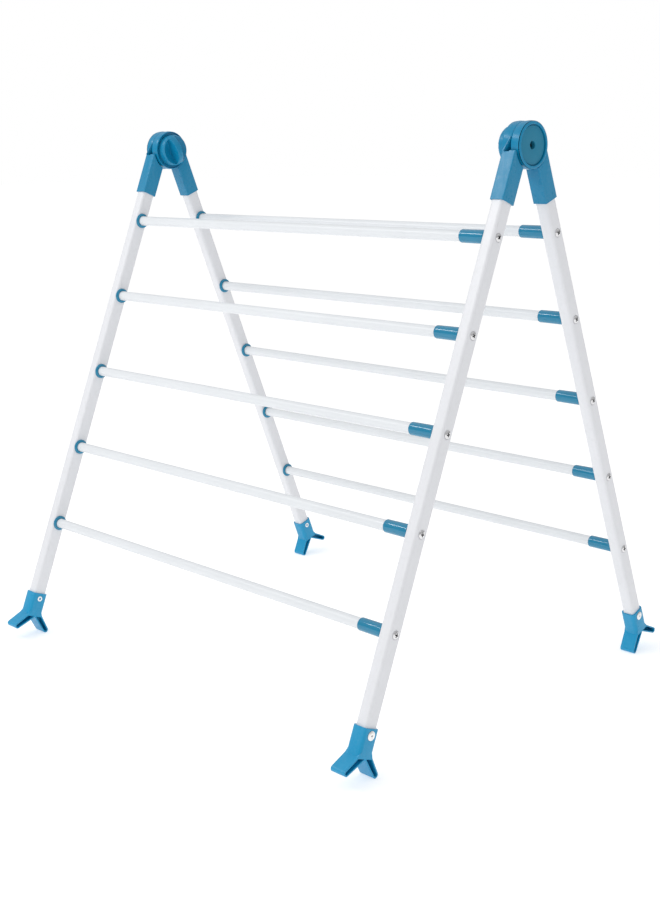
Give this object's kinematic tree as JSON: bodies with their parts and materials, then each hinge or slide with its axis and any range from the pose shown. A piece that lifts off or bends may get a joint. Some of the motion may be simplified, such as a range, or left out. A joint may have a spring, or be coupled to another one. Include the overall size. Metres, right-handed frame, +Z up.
{
  "type": "folding clothes drying rack",
  "caption": "Folding two-ladder clothes drying rack with telescopic rungs, round clamp hinges and forked feet.",
  "frame": {"origin": "on the floor, at the middle of the standing rack", "axes": "+Z up, +X along the rungs towards their sliding end, +Y towards the back ladder"},
  "size_m": [0.7192, 0.6494, 0.7462],
  "materials": {
    "white_paint": "satin powder coat",
    "blue_plastic": "semi-gloss moulded",
    "plated_steel": "zinc plated tube",
    "rivet_steel": "bright rivet head",
    "black_steel": "black oxide bolt"
  },
  "bodies": {
    "front_left": {"front_left_rail": "white_paint", "front_left_foot": "blue_plastic", "front_left_foot_rivet": "rivet_steel", "front_left_hinge_arm": "blue_plastic", "front_outer_tube_1": "white_paint", "front_outer_tube_2": "white_paint", "front_outer_tube_3": "white_paint", "front_outer_tube_4": "white_paint", "front_outer_tube_5": "white_paint", "front_end_sleeve_1": "blue_plastic", "front_end_sleeve_2": "blue_plastic", "front_end_sleeve_3": "blue_plastic", "front_end_sleeve_4": "blue_plastic", "front_end_sleeve_5": "blue_plastic", "front_collar_1": "blue_plastic", "front_collar_2": "blue_plastic", "front_collar_3": "blue_plastic", "front_collar_4": "blue_plastic", "front_collar_5": "blue_plastic", "left_hinge_bolt": "black_steel"},
    "front_right": {"front_right_rail": "white_paint", "front_right_foot": "blue_plastic", "front_right_foot_rivet": "rivet_steel", "front_right_hinge_arm": "blue_plastic", "front_inner_tube_1": "plated_steel", "front_inner_tube_2": "plated_steel", "front_inner_tube_3": "plated_steel", "front_inner_tube_4": "plated_steel", "front_inner_tube_5": "plated_steel"},
    "back_left": {"back_left_rail": "white_paint", "back_left_foot": "blue_plastic", "back_left_foot_rivet": "rivet_steel", "back_left_hinge_arm": "blue_plastic", "back_outer_tube_1": "white_paint", "back_outer_tube_2": "white_paint", "back_outer_tube_3": "white_paint", "back_outer_tube_4": "white_paint", "back_outer_tube_5": "white_paint", "back_end_sleeve_1": "blue_plastic", "back_end_sleeve_2": "blue_plastic", "back_end_sleeve_3": "blue_plastic", "back_end_sleeve_4": "blue_plastic", "back_end_sleeve_5": "blue_plastic", "back_collar_1": "blue_plastic", "back_collar_2": "blue_plastic", "back_collar_3": "blue_plastic", "back_collar_4": "blue_plastic", "back_collar_5": "blue_plastic"},
    "back_right": {"back_right_rail": "white_paint", "back_right_foot": "blue_plastic", "back_right_foot_rivet": "rivet_steel", "back_right_hinge_arm": "blue_plastic", "back_inner_tube_1": "plated_steel", "back_inner_tube_2": "plated_steel", "back_inner_tube_3": "plated_steel", "back_inner_tube_4": "plated_steel", "back_inner_tube_5": "plated_steel", "right_hinge_bolt": "black_steel"},
    "left_knob": {"left_hinge_knob": "blue_plastic"},
    "right_knob": {"right_hinge_knob": "blue_plastic"}
  },
  "joints": [
    {"name": "fold", "type": "hinge", "parent": "front_left", "child": "back_left", "pos_m": [-0.3465, 0, 0.71757], "axis": [1, 0, 0], "range_deg": [-40.8, 136.6]},
    {"name": "front_extend", "type": "slide", "parent": "front_left", "child": "front_right", "axis": [1, 0, 0], "range_m": [0, 0.38]},
    {"name": "back_extend", "type": "slide", "parent": "back_left", "child": "back_right", "axis": [1, 0, 0], "range_m": [0, 0.38]},
    {"name": "left_knob_turn", "type": "hinge", "parent": "back_left", "child": "left_knob", "pos_m": [-0.3465, 0, 0.71757], "axis": [1, 0, 0], "range_deg": [0, 360]},
    {"name": "right_knob_turn", "type": "hinge", "parent": "front_right", "child": "right_knob", "pos_m": [0.3465, 0, 0.71757], "axis": [-1, 0, 0], "range_deg": [0, 360]}
  ],
  "couplings": [
    {"joint": "back_extend", "follows": "front_extend", "ratio": 1}
  ]
}
